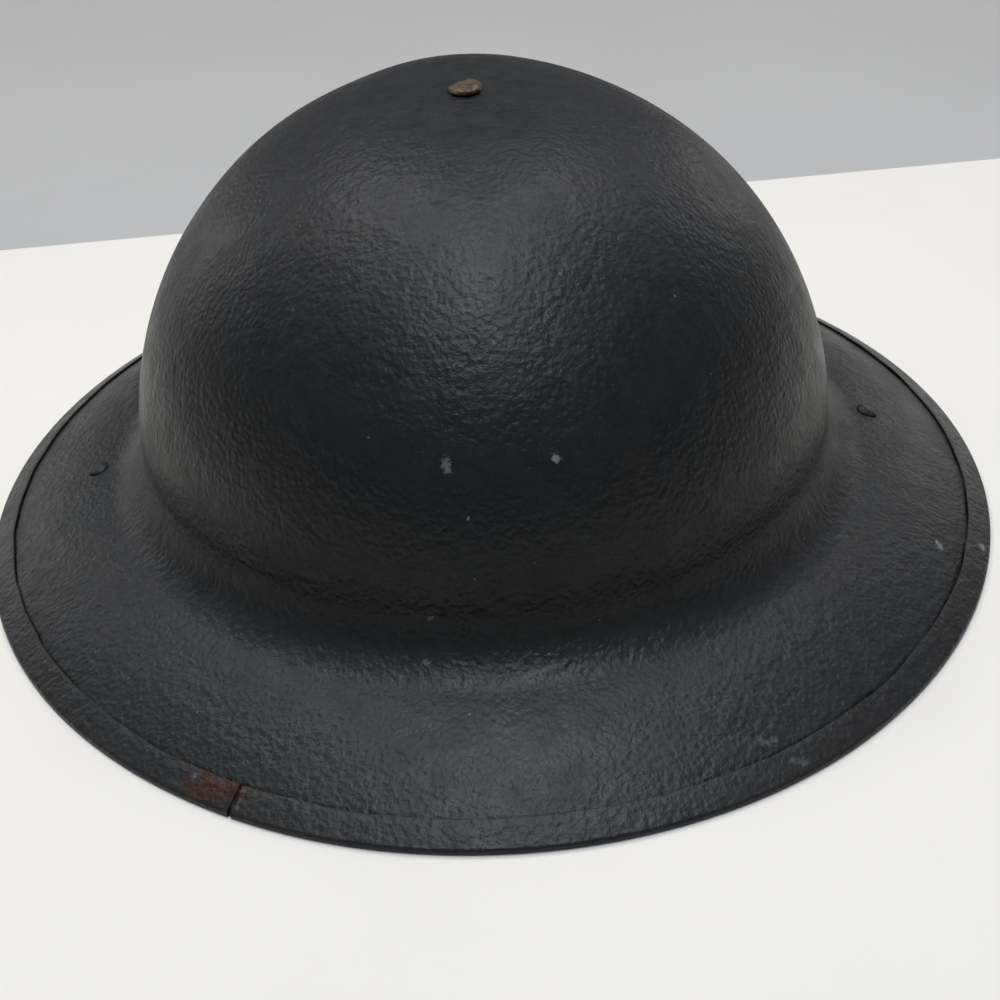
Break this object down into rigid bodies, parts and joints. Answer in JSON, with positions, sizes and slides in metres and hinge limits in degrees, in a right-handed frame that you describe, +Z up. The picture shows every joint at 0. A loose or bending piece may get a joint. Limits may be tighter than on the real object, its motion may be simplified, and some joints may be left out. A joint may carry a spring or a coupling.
{
  "type": "brodie helmet",
  "caption": "Steel helmet with a deep bowl and a wide flat brim, with a folded rim strip, a net and rubber-tube liner, and an unbuckled leather chinstrap.",
  "frame": {"origin": "centre of the bottom of the bounding box, on the table under the middle of the helmet, standing on its rim", "axes": "+Z up through the crown rivet, +X to the right across the helmet through the side rivets, -Y to the front, the side nearest the viewer in the picture"},
  "size_m": [0.292, 0.3096, 0.1254],
  "materials": {
    "steel_painted": "satin, grained, worn",
    "band_steel": "satin, worn, browner than the shell",
    "rivet_steel": "dull, lightly rusted",
    "fittings_steel": "dull steel",
    "felt": "matt felt",
    "oilcloth": "black oilcloth, slightly glossy",
    "rubber_tube": "aged rubber",
    "twine": "hemp twine",
    "leather_strap": "aged brown leather",
    "brass_fittings": "dull brass"
  },
  "bodies": {
    "helmet": {"shell": "steel_painted", "rim_band": "band_steel", "crown_rivet": "rivet_steel", "crown_washer": "fittings_steel", "crown_pad": "felt", "crown_strap_long": "oilcloth", "crown_strap_cross": "oilcloth", "liner_band": "oilcloth", "sweatband": "oilcloth", "buffer_strap": "oilcloth", "band_rivets": "fittings_steel", "head_net": "twine", "net_drawcord": "twine", "left_side_rivet": "steel_painted", "right_side_rivet": "steel_painted", "left_bale_clip": "fittings_steel", "right_bale_clip": "fittings_steel", "buffer_tube_01": "rubber_tube", "buffer_tube_02": "rubber_tube", "buffer_tube_03": "rubber_tube", "buffer_tube_04": "rubber_tube", "buffer_tube_05": "rubber_tube", "buffer_tube_06": "rubber_tube", "buffer_tube_07": "rubber_tube", "buffer_tube_08": "rubber_tube", "buffer_tube_09": "rubber_tube", "buffer_tube_10": "rubber_tube", "buffer_tube_11": "rubber_tube", "buffer_tube_12": "rubber_tube"},
    "left_bale": {"left_bale": "fittings_steel"},
    "right_bale": {"right_bale": "fittings_steel"},
    "left_strap": {"left_strap": "leather_strap", "left_strap_rivets": "brass_fittings"},
    "right_strap": {"right_strap": "leather_strap", "right_strap_rivet": "brass_fittings"},
    "strap_keeper": {"strap_keeper": "leather_strap"},
    "buckle": {"buckle_frame": "brass_fittings"},
    "roller": {"buckle_roller": "brass_fittings"},
    "tongue": {"buckle_tongue": "brass_fittings"}
  },
  "joints": [
    {"name": "left_bale_swing", "type": "hinge", "parent": "helmet", "child": "left_bale", "pos_m": [-0.10087, 0.004, 0.01559], "axis": [0, 1, 0], "range_deg": [-8, 84]},
    {"name": "right_bale_swing", "type": "hinge", "parent": "helmet", "child": "right_bale", "pos_m": [0.10087, -0.004, 0.01559], "axis": [0, -1, 0], "range_deg": [-4, 84]},
    {"name": "left_strap_swing", "type": "hinge", "parent": "left_bale", "child": "left_strap", "pos_m": [-0.09121, 0.004, 0.00545], "axis": [0, 1, 0], "range_deg": [-12, 80]},
    {"name": "right_strap_swing", "type": "hinge", "parent": "right_bale", "child": "right_strap", "pos_m": [0.09121, -0.004, 0.00545], "axis": [0, -1, 0], "range_deg": [-8, 80]},
    {"name": "keeper_slide", "type": "slide", "parent": "left_strap", "child": "strap_keeper", "axis": [1, 0, 0], "range_m": [-0.018, 0]},
    {"name": "buckle_swing", "type": "hinge", "parent": "left_strap", "child": "buckle", "pos_m": [-0.0192, 0.004, 0.00525], "axis": [0, 1, 0], "range_deg": [-120, 153]},
    {"name": "tongue_swing", "type": "hinge", "parent": "buckle", "child": "tongue", "pos_m": [-0.0192, 0.004, 0.00525], "axis": [0, -1, 0], "range_deg": [0, 120]},
    {"name": "roller_spin", "type": "hinge", "parent": "buckle", "child": "roller", "pos_m": [-0.0012, 0.004, 0.00525], "axis": [0, 1, 0], "continuous": true}
  ]
}
